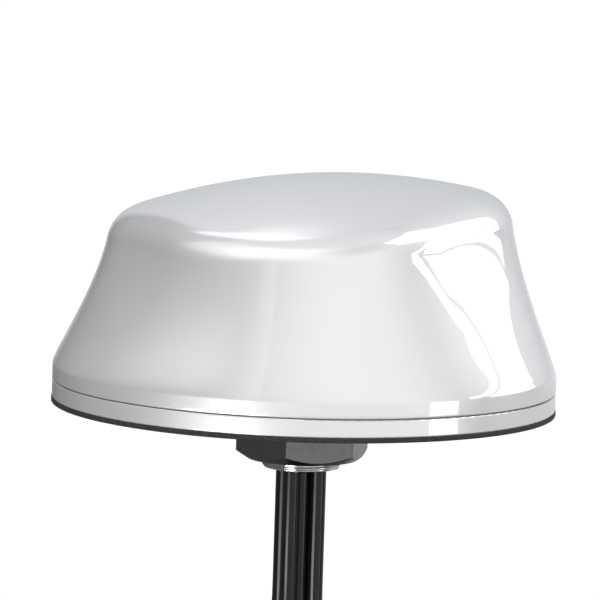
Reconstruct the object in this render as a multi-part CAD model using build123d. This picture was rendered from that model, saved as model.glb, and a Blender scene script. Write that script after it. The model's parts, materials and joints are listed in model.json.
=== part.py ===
from build123d import *
import os
from math import cos, pi, radians, sin, sqrt, tan

# Bolt-through dome antenna for satellite navigation, cellular and Wi-Fi, with five coaxial tails.
# Millimetres, +Z up. The origin is on the stud's axis, in the plane of the gasket's underside,
# which is the surface of the panel that the antenna stands on.

# Foot
BASE_RADIUS = 80.0
GASKET_RADIUS = 80.2
GASKET_HOLE_RADIUS = 23.5
GASKET_THICKNESS = 1.6
FLOOR_THICKNESS = 3.0
RIM_TOP = 7.1
RIM_EDGE_RADIUS = 0.4
SEAM_GAP = 0.3
TONGUE_TOP = 10.8
TONGUE_OUTER = 76.9
TONGUE_INNER = 74.4
SEAL_HEIGHT = 9.0
SEAL_SECTION_RADIUS = 0.9
SEAL_PROUD = 0.5
SEAL_GROOVE_DEPTH = 1.3
SEAL_GROOVE_WIDTH = 2.0

# Radome: an upright lip, a shoulder, and a wall that flares in to a rounded triangle under a crown
# that slopes up towards one corner.
WALL = 2.6
SHOULDER_HEIGHT = 11.9
CROWN_HEIGHT = 72.5
CROWN_RADIUS = 200.0
TOP_SLOPE = 0.0875
TOP_SLOPE_AZIMUTH = 35.4
TOP_INRADIUS = 56.9
TOP_CORNER_RADIUS = 47.7
TOP_FLAT_AZIMUTH = -32.5
TOP_EDGE_RADIUS = 11.2
SHOULDER_HANDLE = 0.084
FLARE_HANDLE = 0.384
FLARE_LEAN = 0.047
WALL_LEVELS = (12.6, 13.8, 15.8, 19, 24, 31, 39, 48, 58, 70, 84)
OUTLINE_POINTS = 36

# Fasteners round the foot
SIX = 6
FOUR = 4
RADOME_SCREW_CIRCLE = 68.0
RADOME_SCREW_AZIMUTH = 57.5
RADOME_BOSS_RADIUS = 4.5
RADOME_BOSS_TOP = 34.0
RADOME_PILOT_TOP = 18.0
RADOME_SCREW_TIP = 15.0
M4_SHANK = 2.0
M4_HEAD = 3.6
M4_HEAD_HEIGHT = 1.7
M4_RECESS_DEPTH = 1.8
M4_CLEARANCE = 0.2
M4_HEAD_CLEARANCE = 0.3
POST_CIRCLE = 56.0
POST_AZIMUTH = 27.5
POST_RADIUS = 4.0
POST_PILOT_DEPTH = 6.0
M3_SHANK = 1.5
M3_HEAD = 2.8
M3_HEAD_HEIGHT = 2.0
M3_LOW_HEAD_HEIGHT = 1.8
M3_CLEARANCE = 0.1
SOCKET_SHARE = 0.45
SOCKET_FLOOR_SHARE = 0.4

# Ground plane
PLANE_RADIUS = 62.5
PLANE_BOTTOM = 12.0
PLANE_THICKNESS = 1.5
PLANE_HOLE_RADIUS = 12.0

# Threaded stud, one inch with 18 threads to the inch, hollow for the cables
INCH = 25.4
THREAD_RADIUS = INCH / 2
THREAD_PITCH = INCH / 18
THREAD_DEPTH = 0.76
THREAD_CREST_WIDTH = 0.2
STUD_END = -19.5
STUD_HOLE_CLEARANCE = 0.2
STUD_BORE_RADIUS = 9.0
FLANGE_RADIUS = 21.0
FLANGE_THICKNESS = 3.5
FLANGE_SCREW_CIRCLE = 17.9
FLANGE_SCREW_AZIMUTH = 45.0
FLANGE_SCREW_TIP = 2.4
STUD_SEAL_CIRCLE = 14.4
STUD_SEAL_RADIUS = 0.7
STUD_SEAL_GROOVE = 1.1
POTTING_BOTTOM = -17.4
POTTING_TOP = 2.0

# Lock washer and nut, run part of the way up the thread
RUNNING_CLEARANCE = 0.05
NUT_ACROSS_FLATS = 1.5 * INCH
NUT_BOTTOM = -16.7
NUT_HEIGHT = 7 / 16 * INCH
NUT_CORNER_AZIMUTH = -102.8
NUT_FACE_SHARE = 0.92
NUT_CHAMFER_ANGLE = 33.0
NUT_MOUTH = 0.9
WASHER_THICKNESS = 2.0
WASHER_RADIUS = 19.0
WASHER_TEETH = 24
WASHER_NOTCH = (2.4, 1.3)
WASHER_CLEARANCE = 0.3

# Satellite navigation module
GNSS_TURN = 66.0
GNSS_BOARD_RADIUS = 28.0
GNSS_BOARD_THICKNESS = 1.6
STANDOFF_CIRCLE = 23.0
STANDOFF_CORNER_RADIUS = 3.1
STANDOFF_HEIGHT = 12.5
STANDOFF_STUD_LENGTH = 2.5
LOWER_PATCH = 34.0
UPPER_PATCH = 25.0
PATCH_THICKNESS = 4.0
ELECTRODE_THICKNESS = 0.15
LOWER_ELECTRODE = 29.0
UPPER_ELECTRODE = 21.0
SHIELD_SIZE = (28.0, 13.0, 3.5)
SHIELD_WALL = 0.2
SHIELD_OFFSET = 12.0
# Chips on the board's underside: place across and along, then length, width and height
CHIPS = ((-9, -9, 4, 4, 0.9), (1, -11, 3, 3, 0.8), (9, -8, 5, 5, 1.0), (-3, -17, 2.4, 1.4, 0.6),
         (6, -16, 2.4, 1.4, 0.6))

# Upright radiator boards: azimuth of each, then the sizes of the two kinds
ELEMENT_CIRCLE = 44.0
BOARD_THICKNESS = 1.0
BOARD_FOOT = 1.0
COPPER_THICKNESS = 0.1
CELLULAR_AZIMUTHS = (27.5, 207.5)
CELLULAR_WIDTH = 40.0
CELLULAR_HEIGHT = 42.0
WIFI_AZIMUTHS = (-62.5, 117.5)
WIFI_WIDTH = 20.0
WIFI_HEIGHT = 26.0
HOLDER_FLANGE = 2.0
HOLDER_DEPTH = 10.0
HOLDER_BLOCK = (6.0, 8.0)
HOLDER_BLOCK_INSET = 4.0
HOLDER_EAR = 7.0
HOLDER_SCREW_INSET = 3.4
HOLDER_RELIEF = 4.0
HOLDER_SCREW_TIP = 1.5
FEED_HEIGHT = 29.0
FEED_GAP = 0.8
# Copper outlines on the boards' faces, as (across, height) points above the ground plane
CELLULAR_COPPER = [(-2, 11), (2, 11), (2, 14), (18, 20), (18, 40), (8, 40), (8, 25), (4, 25), (4, 40),
                   (-18, 40), (-18, 20), (-2, 14)]
WIFI_COPPER = [(-1, 11), (1, 11), (1, 13), (8, 13), (8, 24), (3, 24), (3, 16), (-3, 16), (-3, 24),
               (-8, 24), (-8, 13), (-1, 13)]

# Coaxial tails. Each route is a list of points, from the potting down to the end of the jacket.
CABLE_RADIUS = 2.65
RING_RADIUS = 5.4
CABLE_START = 5.0
LEAD_RADIUS = 0.9
LEAD_HEIGHT = 17.5
LEAD_RISE = 1.5
LEAD_BEND_RADIUS = 4.0
LEAD_TURN_DISTANCE = 8.0
ROUTES = {
    "gnss": [(0, 0, 5), (0, 0, -68), (1.6, -1.2, -122), (1.0, -3.6, -178), (-1.6, -3.6, -234),
             (-2.6, -2.0, -284)],
    "cellular_1": [(5.387, -0.377, 5), (5.387, -0.377, -68), (7.8, -1.5, -120), (13.0, -2.2, -174),
                   (18.2, -1.2, -228), (20.8, 0.8, -279)],
    "cellular_2": [(-5.387, 0.377, 5), (-5.387, 0.377, -68), (-8.4, 0.6, -119), (-14.4, 2.6, -175),
                   (-18.6, 6.0, -231), (-20.0, 9.8, -281)],
    "wifi_1": [(-3.020, -4.477, 5), (-3.020, -4.477, -68), (-4.6, -7.9, -121), (-5.2, -13.8, -176),
               (-7.6, -18.8, -230), (-11.4, -21.2, -277)],
    "wifi_2": [(3.020, 4.477, 5), (3.020, 4.477, -68), (3.4, 7.9, -118), (6.0, 13.2, -173),
               (10.2, 16.8, -227), (14.4, 18.2, -280)],
}
LEAD_ENDS = {
    "cellular_1": CELLULAR_AZIMUTHS[0],
    "cellular_2": CELLULAR_AZIMUTHS[1],
    "wifi_1": WIFI_AZIMUTHS[0],
    "wifi_2": WIFI_AZIMUTHS[1],
}

# SMA plug, in its own frame: +Z towards the mating end, zero at the ferrule's rear edge
JACKET_DEPTH = 6.0
FERRULE_RADIUS = 3.25
FERRULE_LENGTH = 10.0
SHELL_RADIUS = 3.6
WRENCH_ACROSS_FLATS = 6.5
WRENCH_START = 12.5
NECK_RADIUS = 2.6
NECK_START = 14.5
COLLAR_START = 16.3
COLLAR_RADIUS = 3.3
SLEEVE_START = 17.5
SLEEVE_RADIUS = 2.29
SLEEVE_END = 20.0
INSULATOR_RADIUS = 1.95
INSULATOR_INSET = 0.1
CONTACT_RADIUS = 0.46
CONTACT_TIP_RADIUS = 0.2
CONTACT_TIP_LENGTH = 0.5
CONTACT_END = 21.3
COUPLING_ACROSS_FLATS = 8.0
COUPLING_START = 14.7
COUPLING_WALL_END = 16.1
COUPLING_RELIEF_END = 18.0
COUPLING_END = 21.7
COUPLING_RELIEF_RADIUS = 3.5
COUPLING_THREAD_RADIUS = 2.9
BOOT_START = -14.0
BOOT_END = 9.5
BOOT_WALL = 0.5
BOOT_STEP = (-1.5, 0.5)
MARKER_START = -27.0
MARKER_LENGTH = 9.0
MARKER_WALL = 0.35
MARKER_CLEARANCE = 0.05
SMALL_FACE_SHARE = 0.96
SMALL_CHAMFER_ANGLE = 30.0

FLOOR_TOP = GASKET_THICKNESS + FLOOR_THICKNESS
PLANE_TOP = PLANE_BOTTOM + PLANE_THICKNESS
FLANGE_TOP = FLOOR_TOP + FLANGE_THICKNESS
NUT_TOP = NUT_BOTTOM + NUT_HEIGHT
GNSS_BOARD_BOTTOM = PLANE_TOP + STANDOFF_HEIGHT
GNSS_BOARD_TOP = GNSS_BOARD_BOTTOM + GNSS_BOARD_THICKNESS
UPRIGHT = (Align.CENTER, Align.CENTER, Align.MIN)


def rod(radius, bottom, top, x=0.0, y=0.0):
    """An upright cylinder between two heights."""
    return Pos(x, y, bottom) * Cylinder(radius, top - bottom, align=UPRIGHT)


def ring(outer, inner, bottom, top):
    return rod(outer, bottom, top) - rod(inner, bottom, top)


def turned(points):
    """A solid of revolution about Z from (radius, height) points."""
    profile = Polyline([(r, 0, z) for r, z in points], close=True)
    return revolve(make_face(profile), Axis.Z, 360)


def round_cord(circle_radius, section_radius, height):
    return Pos(0, 0, height) * Torus(circle_radius, section_radius)


def around(circle_radius, azimuth, count):
    """The places of count holes on a circle, as (x, y)."""
    angles = [radians(azimuth + 360.0 * i / count) for i in range(count)]
    return [(circle_radius * cos(a), circle_radius * sin(a)) for a in angles]


def screws(places, shank, head, tip, seat, head_height, pointing_up=False):
    """Pan-head screws at places; the head is above the seat, or below it when they point up."""
    group = []
    for x, y in places:
        if pointing_up:
            solid = rod(shank, seat, tip, x, y) + rod(head, seat - head_height, seat, x, y)
            socket = rod(head * SOCKET_SHARE, seat - head_height, seat - head_height * SOCKET_FLOOR_SHARE, x, y)
        else:
            solid = rod(shank, tip, seat, x, y) + rod(head, seat, seat + head_height, x, y)
            socket = rod(head * SOCKET_SHARE, seat + head_height * SOCKET_FLOOR_SHARE, seat + head_height, x, y)
        group.append(solid - socket)
    return Compound(children=group)


# ---- radome ----

def top_outline_radius(azimuth):
    """Radius of the top's rounded triangle in one direction, in radians."""
    half = pi / 3
    off = abs((azimuth - radians(TOP_FLAT_AZIMUTH) + half) % (2 * half) - half)
    centre_x = TOP_INRADIUS - TOP_CORNER_RADIUS
    centre_y = centre_x * tan(half)
    if TOP_INRADIUS * tan(off) <= centre_y:
        return TOP_INRADIUS / cos(off)
    along = centre_x * cos(off) + centre_y * sin(off)
    return along + sqrt(along**2 - centre_x**2 - centre_y**2 + TOP_CORNER_RADIUS**2)


def top_height(x, y):
    lean = radians(TOP_SLOPE_AZIMUTH)
    return CROWN_HEIGHT - (x * x + y * y) / (2 * CROWN_RADIUS) + TOP_SLOPE * (x * cos(lean) + y * sin(lean))


def bezier(p, t):
    s = 1 - t
    return s**3 * p[0] + 3 * s * s * t * p[1] + 3 * s * t * t * p[2] + t**3 * p[3]


def wall_radius(azimuth, height):
    """Outside radius of the wall: upright below the shoulder, then a cubic up to the top's edge."""
    if height <= SHOULDER_HEIGHT:
        return BASE_RADIUS
    rim = top_outline_radius(azimuth)
    rim_height = top_height(rim * cos(azimuth), rim * sin(azimuth))
    if height >= rim_height:
        return rim - FLARE_LEAN * (height - rim_height)
    rise = rim_height - SHOULDER_HEIGHT
    radii = (BASE_RADIUS, BASE_RADIUS, rim + FLARE_LEAN * FLARE_HANDLE * rise, rim)
    heights = (SHOULDER_HEIGHT, SHOULDER_HEIGHT + SHOULDER_HANDLE * rise,
               rim_height - FLARE_HANDLE * rise, rim_height)
    low, high = 0.0, 1.0
    for _ in range(40):
        t = (low + high) / 2
        low, high = (t, high) if bezier(heights, t) < height else (low, t)
    return bezier(radii, low)


def wall_section(height, inset):
    points = []
    for i in range(OUTLINE_POINTS):
        azimuth = 2 * pi * i / OUTLINE_POINTS
        radius = wall_radius(azimuth, height) - inset
        points.append(Vector(radius * cos(azimuth), radius * sin(azimuth), height))
    return Wire([Edge.make_spline(points, periodic=True)])


def dome(bottom, inset):
    """The radome's outer form, or with an inset its hollow, as one solid."""
    levels = (bottom, (bottom + SHOULDER_HEIGHT) / 2, SHOULDER_HEIGHT) + WALL_LEVELS
    wall = Solid.make_loft([wall_section(height, inset) for height in levels])
    lean = radians(TOP_SLOPE_AZIMUTH)
    normal = Vector(-TOP_SLOPE * cos(lean), -TOP_SLOPE * sin(lean), 1).normalized()
    crown_centre = Vector(0, 0, CROWN_HEIGHT) - normal * CROWN_RADIUS
    body = wall & (Pos(crown_centre) * Sphere(CROWN_RADIUS - inset))
    rim = max((e for e in body.edges() if e.center().Z > 2 * SHOULDER_HEIGHT), key=lambda e: e.length)
    return fillet(rim, TOP_EDGE_RADIUS - inset)


def radome():
    lip = RIM_TOP + SEAM_GAP
    outer = dome(lip, 0.0)
    shell = outer - dome(lip - 1.0, WALL)
    for x, y in around(RADOME_SCREW_CIRCLE, RADOME_SCREW_AZIMUTH, SIX):
        boss = rod(RADOME_BOSS_RADIUS, lip, RADOME_BOSS_TOP, x, y) & outer
        shell = shell + boss
    for x, y in around(RADOME_SCREW_CIRCLE, RADOME_SCREW_AZIMUTH, SIX):
        shell = shell + rod(RADOME_BOSS_RADIUS, FLOOR_TOP, lip, x, y)
        shell = shell - rod(M4_SHANK, FLOOR_TOP, RADOME_PILOT_TOP, x, y)
    return shell


# ---- foot ----

def mounting_gasket():
    return ring(GASKET_RADIUS, GASKET_HOLE_RADIUS, 0, GASKET_THICKNESS)


def base_housing():
    body = rod(BASE_RADIUS, GASKET_THICKNESS, RIM_TOP)
    body = fillet(body.edges().filter_by(GeomType.CIRCLE), RIM_EDGE_RADIUS)
    body = body + rod(TONGUE_OUTER, FLOOR_TOP, TONGUE_TOP)
    body = body - rod(TONGUE_INNER, FLOOR_TOP, TONGUE_TOP)
    half_groove = SEAL_GROOVE_WIDTH / 2
    body = body - ring(TONGUE_OUTER, TONGUE_OUTER - SEAL_GROOVE_DEPTH, SEAL_HEIGHT - half_groove,
                       SEAL_HEIGHT + half_groove)
    body = body - rod(THREAD_RADIUS + STUD_HOLE_CLEARANCE, GASKET_THICKNESS, FLOOR_TOP)
    body = body - ring(STUD_SEAL_CIRCLE + STUD_SEAL_GROOVE, STUD_SEAL_CIRCLE - STUD_SEAL_GROOVE,
                       FLOOR_TOP - 2 * STUD_SEAL_RADIUS, FLOOR_TOP)
    for x, y in around(POST_CIRCLE, POST_AZIMUTH, SIX):
        body = body + rod(POST_RADIUS, FLOOR_TOP, PLANE_BOTTOM, x, y)
        body = body - rod(M3_SHANK, PLANE_BOTTOM - POST_PILOT_DEPTH, PLANE_BOTTOM, x, y)
    for x, y in around(RADOME_SCREW_CIRCLE, RADOME_SCREW_AZIMUTH, SIX):
        body = body - rod(M4_SHANK + M4_CLEARANCE, GASKET_THICKNESS, FLOOR_TOP, x, y)
        recess_top = GASKET_THICKNESS + M4_RECESS_DEPTH
        body = body - rod(M4_HEAD + M4_HEAD_CLEARANCE, GASKET_THICKNESS, recess_top, x, y)
    for x, y in around(FLANGE_SCREW_CIRCLE, FLANGE_SCREW_AZIMUTH, FOUR):
        body = body - rod(M3_SHANK, FLOOR_TOP - FLANGE_SCREW_TIP, FLOOR_TOP, x, y)
    return body


def radome_seal():
    return round_cord(TONGUE_OUTER + SEAL_PROUD - SEAL_SECTION_RADIUS, SEAL_SECTION_RADIUS, SEAL_HEIGHT)


def radome_screws():
    places = around(RADOME_SCREW_CIRCLE, RADOME_SCREW_AZIMUTH, SIX)
    seat = GASKET_THICKNESS + M4_RECESS_DEPTH
    return screws(places, M4_SHANK, M4_HEAD, RADOME_SCREW_TIP, seat, M4_HEAD_HEIGHT, pointing_up=True)


def ground_plane():
    plate = ring(PLANE_RADIUS, PLANE_HOLE_RADIUS, PLANE_BOTTOM, PLANE_TOP)
    for x, y in around(POST_CIRCLE, POST_AZIMUTH, SIX):
        plate = plate - rod(M3_SHANK + M3_CLEARANCE, PLANE_BOTTOM, PLANE_TOP, x, y)
    for x, y in holder_screw_places() + standoff_places():
        plate = plate - rod(M3_SHANK, PLANE_BOTTOM, PLANE_TOP, x, y)
    return plate


def ground_plane_screws():
    places = around(POST_CIRCLE, POST_AZIMUTH, SIX)
    return screws(places, M3_SHANK, M3_HEAD, PLANE_BOTTOM - POST_PILOT_DEPTH, PLANE_TOP, M3_HEAD_HEIGHT)


# ---- stud, washer and nut ----

def threaded_stud():
    """A flanged tube; the thread is a row of V grooves one pitch apart."""
    crest, root, half = THREAD_RADIUS, THREAD_RADIUS - THREAD_DEPTH, THREAD_PITCH / 2
    half_crest = THREAD_CREST_WIDTH / 2
    outline = [(STUD_BORE_RADIUS, STUD_END), (root, STUD_END)]
    height = STUD_END + half
    while height + THREAD_PITCH < GASKET_THICKNESS:
        outline += [(crest, height - half_crest), (crest, height + half_crest), (root, height + half)]
        height += THREAD_PITCH
    outline += [(crest, height), (crest, FLOOR_TOP), (FLANGE_RADIUS, FLOOR_TOP), (FLANGE_RADIUS, FLANGE_TOP),
                (STUD_BORE_RADIUS, FLANGE_TOP)]
    stud = turned(outline)
    for x, y in around(FLANGE_SCREW_CIRCLE, FLANGE_SCREW_AZIMUTH, FOUR):
        stud = stud - rod(M3_SHANK + M3_CLEARANCE, FLOOR_TOP, FLANGE_TOP, x, y)
    return stud


def stud_seal():
    return round_cord(STUD_SEAL_CIRCLE, STUD_SEAL_RADIUS, FLOOR_TOP - STUD_SEAL_RADIUS)


def stud_screws():
    places = around(FLANGE_SCREW_CIRCLE, FLANGE_SCREW_AZIMUTH, FOUR)
    return screws(places, M3_SHANK, M3_HEAD, FLOOR_TOP - FLANGE_SCREW_TIP, FLANGE_TOP, M3_HEAD_HEIGHT)


def cable_potting():
    plug = rod(STUD_BORE_RADIUS, POTTING_BOTTOM, POTTING_TOP)
    for route in ROUTES.values():
        plug = plug - rod(CABLE_RADIUS, POTTING_BOTTOM, POTTING_TOP, route[0][0], route[0][1])
    return plug


def chamfered_hexagon(across_flats, bottom, top, face_share, angle):
    """A hexagonal bar with its corners turned off by cones, down to a round face at each end."""
    corner, face = across_flats / sqrt(3), across_flats / 2 * face_share
    drop = (corner - face) * tan(radians(angle))
    cone = turned([(0, bottom), (face, bottom), (corner, bottom + drop), (corner, top - drop), (face, top),
                   (0, top)])
    bar = Pos(0, 0, bottom) * extrude(RegularPolygon(corner, 6), top - bottom)
    return bar & cone


def hex_nut():
    bar = chamfered_hexagon(NUT_ACROSS_FLATS, NUT_BOTTOM, NUT_TOP, NUT_FACE_SHARE, NUT_CHAMFER_ANGLE)
    bore = THREAD_RADIUS + RUNNING_CLEARANCE
    mouth = bore + NUT_MOUTH
    hole = turned([(0, NUT_BOTTOM), (mouth, NUT_BOTTOM), (bore, NUT_BOTTOM + NUT_MOUTH),
                   (bore, NUT_TOP - NUT_MOUTH), (mouth, NUT_TOP), (0, NUT_TOP)])
    return Rot(0, 0, NUT_CORNER_AZIMUTH) * (bar - hole)


def lock_washer():
    washer = ring(WASHER_RADIUS, THREAD_RADIUS + WASHER_CLEARANCE, NUT_TOP, NUT_TOP + WASHER_THICKNESS)
    for i in range(WASHER_TEETH):
        notch = Pos(WASHER_RADIUS, 0, NUT_TOP + WASHER_THICKNESS / 2) * Box(*WASHER_NOTCH, WASHER_THICKNESS)
        washer = washer - Rot(0, 0, 360 * i / WASHER_TEETH) * notch
    return washer


# ---- satellite navigation module ----

def standoff_places():
    return around(STANDOFF_CIRCLE, GNSS_TURN, FOUR)


def gnss_board():
    board = rod(GNSS_BOARD_RADIUS, GNSS_BOARD_BOTTOM, GNSS_BOARD_TOP)
    for x, y in standoff_places():
        board = board - rod(M3_SHANK + M3_CLEARANCE, GNSS_BOARD_BOTTOM, GNSS_BOARD_TOP, x, y)
    return board


def gnss_standoffs():
    bars = []
    for x, y in standoff_places():
        bar = Pos(x, y, PLANE_TOP) * extrude(RegularPolygon(STANDOFF_CORNER_RADIUS, 6), STANDOFF_HEIGHT)
        bars.append(bar + rod(M3_SHANK, PLANE_TOP - STANDOFF_STUD_LENGTH, PLANE_TOP, x, y))
    return Compound(children=bars)


def gnss_board_screws():
    return screws(standoff_places(), M3_SHANK, M3_HEAD, GNSS_BOARD_BOTTOM, GNSS_BOARD_TOP, M3_LOW_HEAD_HEIGHT)


def tile(side, thickness, bottom):
    block = Pos(0, 0, bottom) * Box(side, side, thickness, align=UPRIGHT)
    return Rot(0, 0, GNSS_TURN) * block


def gnss_lower_patch():
    return tile(LOWER_PATCH, PATCH_THICKNESS, GNSS_BOARD_TOP)


def gnss_upper_patch():
    return tile(UPPER_PATCH, PATCH_THICKNESS, GNSS_BOARD_TOP + PATCH_THICKNESS + ELECTRODE_THICKNESS)


def gnss_electrodes():
    lower_top = GNSS_BOARD_TOP + PATCH_THICKNESS
    upper_top = lower_top + ELECTRODE_THICKNESS + PATCH_THICKNESS
    lower = tile(LOWER_ELECTRODE, ELECTRODE_THICKNESS, lower_top)
    upper = tile(UPPER_ELECTRODE, ELECTRODE_THICKNESS, upper_top)
    return Compound(children=[lower, upper])


def gnss_shield_can():
    """A sheet-metal lid, open towards the board."""
    length, width, height = SHIELD_SIZE
    hollow = Box(length - 2 * SHIELD_WALL, width - 2 * SHIELD_WALL, height)
    can = Box(length, width, height) - Pos(0, 0, SHIELD_WALL) * hollow
    return Rot(0, 0, GNSS_TURN) * Pos(0, SHIELD_OFFSET, GNSS_BOARD_BOTTOM - height / 2) * can


def gnss_chips():
    """Amplifiers and filters on the board's underside, beside the can."""
    chips = []
    for x, y, length, width, height in CHIPS:
        chip = Pos(x, y, GNSS_BOARD_BOTTOM - height / 2) * Box(length, width, height)
        chips.append(Rot(0, 0, GNSS_TURN) * chip)
    return Compound(children=chips)


# ---- upright radiators ----

def stand_at(azimuth, solid):
    """Turns a solid made at +X, with its width along Y, to its azimuth."""
    return Rot(0, 0, azimuth) * solid


def upright_board(azimuth, width, height):
    board = Pos(ELEMENT_CIRCLE, 0, PLANE_TOP + BOARD_FOOT) * Box(BOARD_THICKNESS, width, height, align=UPRIGHT)
    return stand_at(azimuth, board)


def radiator(azimuth, outline):
    """A copper layer on the board's outer face."""
    face_x = ELEMENT_CIRCLE + BOARD_THICKNESS / 2
    outer_face = Plane(origin=(face_x, 0, PLANE_TOP), x_dir=(0, 1, 0), z_dir=(1, 0, 0))
    layer = extrude(outer_face * make_face(Polyline(outline, close=True)), COPPER_THICKNESS)
    return stand_at(azimuth, layer)


def cellular_radiators():
    return Compound(children=[radiator(a, CELLULAR_COPPER) for a in CELLULAR_AZIMUTHS])


def wifi_radiators():
    return Compound(children=[radiator(a, WIFI_COPPER) for a in WIFI_AZIMUTHS])


def holder(azimuth, width):
    """A moulded foot with a slot for the board, a relief before its copper and an ear at each end."""
    depth, height = HOLDER_BLOCK
    on_plane = Pos(ELEMENT_CIRCLE, 0, PLANE_TOP)
    foot = on_plane * Box(HOLDER_DEPTH, width + 2 * HOLDER_EAR, HOLDER_FLANGE, align=UPRIGHT)
    block = on_plane * Box(depth, width - 2 * HOLDER_BLOCK_INSET, HOLDER_FLANGE + height, align=UPRIGHT)
    in_slot = on_plane * Pos(0, 0, BOARD_FOOT)
    slot = in_slot * Box(BOARD_THICKNESS, width, 2 * height, align=UPRIGHT)
    relief = in_slot * Pos(HOLDER_RELIEF / 2, 0, 0) * Box(HOLDER_RELIEF, width / 2, 2 * height, align=UPRIGHT)
    body = foot + block - slot - relief
    for side in (-1, 1):
        across = side * (width / 2 + HOLDER_EAR - HOLDER_SCREW_INSET)
        body = body - rod(M3_SHANK + M3_CLEARANCE, PLANE_TOP, PLANE_TOP + HOLDER_FLANGE, ELEMENT_CIRCLE, across)
    return stand_at(azimuth, body)


def holder_screw_places():
    places = []
    for azimuths, width in ((CELLULAR_AZIMUTHS, CELLULAR_WIDTH), (WIFI_AZIMUTHS, WIFI_WIDTH)):
        for azimuth in azimuths:
            for side in (-1, 1):
                across = side * (width / 2 + HOLDER_EAR - HOLDER_SCREW_INSET)
                spot = Vector(ELEMENT_CIRCLE, across, 0).rotate(Axis.Z, azimuth)
                places.append((spot.X, spot.Y))
    return places


def holder_screws():
    return screws(holder_screw_places(), M3_SHANK, M3_HEAD, PLANE_BOTTOM - HOLDER_SCREW_TIP,
                  PLANE_TOP + HOLDER_FLANGE, M3_LOW_HEAD_HEIGHT)


# ---- cables and plugs ----

def arc_radii(points):
    """The largest radius that each corner's two runs leave room for."""
    radii = []
    for before, corner, after in zip(points, points[1:], points[2:]):
        first, second = Vector(corner) - Vector(before), Vector(after) - Vector(corner)
        turn = radians(first.get_angle(second))
        radii.append(0.45 * min(first.length, second.length) / tan(turn / 2))
    return radii


def tube(points, radii, radius):
    path = FilletPolyline(*points, radius=radii)
    start = Plane(origin=path @ 0, z_dir=path % 0)
    return sweep(start * Circle(radius), path=path), path.length


def cable(name):
    points = ROUTES[name]
    radii = arc_radii(points)
    solid, length = tube(points, radii, CABLE_RADIUS)
    expected = pi * CABLE_RADIUS**2 * length
    print(f"cable_{name}: {length:.1f} mm long, arcs {[round(r) for r in radii]} mm,",
          f"volume over section times length {solid.volume / expected:.4f}")
    return solid


def inner_leads():
    """The stripped cable ends inside the dome, one up to each board."""
    leads = [rod(LEAD_RADIUS, CABLE_START, GNSS_BOARD_BOTTOM)]
    for name, azimuth in LEAD_ENDS.items():
        x, y, _ = ROUTES[name][0]
        near = Vector(ELEMENT_CIRCLE - LEAD_TURN_DISTANCE, 0, LEAD_HEIGHT + LEAD_RISE).rotate(Axis.Z, azimuth)
        feed = Vector(ELEMENT_CIRCLE - BOARD_THICKNESS / 2 - FEED_GAP, 0, FEED_HEIGHT).rotate(Axis.Z, azimuth)
        points = [(x, y, CABLE_START), (x, y, LEAD_HEIGHT), tuple(near), tuple(feed)]
        leads.append(tube(points, LEAD_BEND_RADIUS, LEAD_RADIUS)[0])
    return Compound(children=leads)


def plug_place(name):
    """The plug's own frame, which puts the jacket's end inside the ferrule."""
    before, end = (Vector(p) for p in ROUTES[name][-2:])
    direction = (end - before).normalized()
    return Plane(origin=end - direction * JACKET_DEPTH, z_dir=direction)


def plug_shell():
    """From the ferrule on the jacket, past the wrench flats and the neck, to the mating sleeve."""
    shell = turned([(0, JACKET_DEPTH), (CABLE_RADIUS, JACKET_DEPTH), (CABLE_RADIUS, 0), (FERRULE_RADIUS, 0),
                    (FERRULE_RADIUS, FERRULE_LENGTH), (SHELL_RADIUS, FERRULE_LENGTH),
                    (SHELL_RADIUS, WRENCH_START), (NECK_RADIUS, WRENCH_START), (NECK_RADIUS, COLLAR_START),
                    (COLLAR_RADIUS, COLLAR_START), (COLLAR_RADIUS, SLEEVE_START),
                    (SLEEVE_RADIUS, SLEEVE_START), (SLEEVE_RADIUS, SLEEVE_END), (INSULATOR_RADIUS, SLEEVE_END),
                    (INSULATOR_RADIUS, NECK_START), (0, NECK_START)])
    wrench = chamfered_hexagon(WRENCH_ACROSS_FLATS, WRENCH_START, NECK_START, SMALL_FACE_SHARE,
                               SMALL_CHAMFER_ANGLE)
    return shell + (wrench - rod(NECK_RADIUS / 2, WRENCH_START, NECK_START))


def plug_insulator():
    return ring(INSULATOR_RADIUS, CONTACT_RADIUS, NECK_START, SLEEVE_END - INSULATOR_INSET)


def plug_contact():
    return turned([(0, NECK_START), (CONTACT_RADIUS, NECK_START),
                   (CONTACT_RADIUS, CONTACT_END - CONTACT_TIP_LENGTH), (CONTACT_TIP_RADIUS, CONTACT_END),
                   (0, CONTACT_END)])


def coupling_nut():
    bar = chamfered_hexagon(COUPLING_ACROSS_FLATS, COUPLING_START, COUPLING_END, SMALL_FACE_SHARE,
                            SMALL_CHAMFER_ANGLE)
    wall_radius = NECK_RADIUS + RUNNING_CLEARANCE
    hollow = turned([(0, COUPLING_START), (wall_radius, COUPLING_START), (wall_radius, COUPLING_WALL_END),
                     (COUPLING_RELIEF_RADIUS, COUPLING_WALL_END), (COUPLING_RELIEF_RADIUS, COUPLING_RELIEF_END),
                     (COUPLING_THREAD_RADIUS, COUPLING_RELIEF_END), (COUPLING_THREAD_RADIUS, COUPLING_END),
                     (0, COUPLING_END)])
    return bar - hollow


def plug_boot():
    """Heat-shrink tube over the crimped ferrule and the first stretch of jacket."""
    step_start, step_end = BOOT_STEP
    on_jacket, on_ferrule = CABLE_RADIUS + BOOT_WALL, FERRULE_RADIUS + BOOT_WALL
    return turned([(CABLE_RADIUS, BOOT_START), (on_jacket, BOOT_START), (on_jacket, step_start),
                   (on_ferrule, step_end), (on_ferrule, BOOT_END), (FERRULE_RADIUS, BOOT_END),
                   (FERRULE_RADIUS, 0), (CABLE_RADIUS, 0)])


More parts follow.
